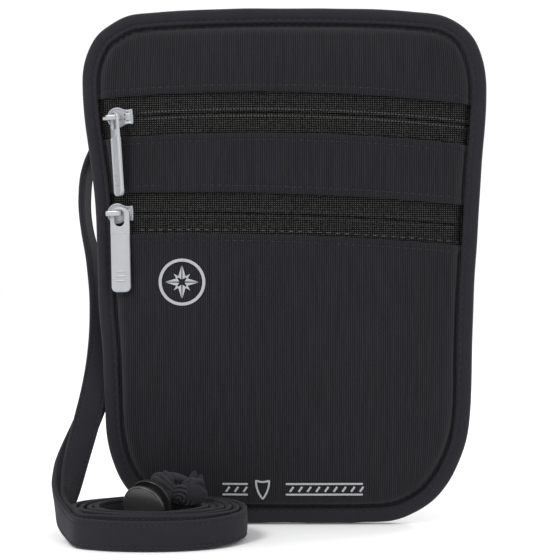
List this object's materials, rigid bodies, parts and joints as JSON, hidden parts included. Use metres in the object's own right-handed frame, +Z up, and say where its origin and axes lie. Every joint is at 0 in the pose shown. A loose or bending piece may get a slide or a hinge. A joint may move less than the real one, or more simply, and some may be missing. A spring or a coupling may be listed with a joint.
{
  "type": "neck pouch wallet",
  "caption": "Flat zipped fabric neck pouch with bound edge, curved coil zips with hanging pull tabs, and a long fabric neck strap wound into a coil with a knot and round cord lock.",
  "frame": {"origin": "centre of the pouch's footprint on the surface it stands on, measured without the neck strap and the cord lock", "axes": "+X to the wearer-facing viewer's right across the pouch, +Z up its height, front face with the zips towards -Y"},
  "size_m": [0.155, 0.0705, 0.19],
  "materials": {
    "ribbed_fabric": "matte charcoal fabric with fine upright ribs",
    "binding_twill": "matte charcoal twill tape",
    "lining_fabric": "thin plain-weave lining",
    "zip_tape": "flat woven black tape",
    "zip_coil": "black polyester coil",
    "grey_enamel": "light grey satin enamel on die-cast metal",
    "strap_fabric": "folded charcoal twill strap",
    "satin_plastic": "satin black moulded plastic",
    "spring_steel": "plain spring wire"
  },
  "bodies": {
    "pouch": {"back_panel": "ribbed_fabric", "rear_lining": "lining_fabric", "edge_binding": "binding_twill", "front_panel_bottom": "ribbed_fabric", "front_panel_middle": "ribbed_fabric", "front_panel_top": "ribbed_fabric", "pocket_divider": "lining_fabric", "upper_zip_tape_upper": "zip_tape", "upper_zip_tape_lower": "zip_tape", "lower_zip_tape_upper": "zip_tape", "lower_zip_tape_lower": "zip_tape", "upper_zip_coil_upper": "zip_coil", "upper_zip_coil_lower": "zip_coil", "lower_zip_coil_upper": "zip_coil", "lower_zip_coil_lower": "zip_coil", "upper_zip_end_stop": "grey_enamel", "strap_end_left": "strap_fabric", "strap_end_right": "strap_fabric", "neck_strap_left_run": "strap_fabric", "neck_strap_right_run": "strap_fabric", "neck_strap_coil": "strap_fabric", "neck_strap_knot": "strap_fabric", "cord_lock_body": "satin_plastic", "cord_lock_spring": "spring_steel"},
    "upper_slider": {"upper_slider_body": "grey_enamel"},
    "upper_tab": {"upper_pull_tab": "grey_enamel"},
    "lower_slider": {"lower_slider_body": "grey_enamel"},
    "lower_tab": {"lower_pull_tab": "grey_enamel"},
    "lock_button": {"cord_lock_button": "satin_plastic"}
  },
  "joints": [
    {"name": "upper_zip_travel", "type": "hinge", "parent": "pouch", "child": "upper_slider", "pos_m": [-0.00197, 0.28073, 0.01972], "axis": [0.0136, 0.4161, 0.9092], "range_deg": [0, 21.57], "deforming": ["upper_zip_coil_upper", "upper_zip_coil_lower"]},
    {"name": "upper_tab_swing", "type": "hinge", "parent": "upper_slider", "child": "upper_tab", "pos_m": [-0.06184, -0.00489, 0.14932], "axis": [-0.9828, 0.1729, -0.0644], "range_deg": [0, 90]},
    {"name": "lower_zip_travel", "type": "hinge", "parent": "pouch", "child": "lower_slider", "pos_m": [-0.0031, 0.31151, 0.01723], "axis": [0.0306, 0.2917, 0.956], "range_deg": [0, 20.13], "deforming": ["lower_zip_coil_upper", "lower_zip_coil_lower"]},
    {"name": "lower_tab_swing", "type": "hinge", "parent": "lower_slider", "child": "lower_tab", "pos_m": [-0.05984, -0.00362, 0.11434], "axis": [-0.1729, -0.9849, 0.0009], "range_deg": [-15, 90]},
    {"name": "cord_lock_press", "type": "slide", "parent": "pouch", "child": "lock_button", "axis": [0.3996, 0.8591, 0.3197], "range_m": [0, 0.0018], "stiffness_N_per_m": 400, "deforming": ["cord_lock_spring"]}
  ]
}
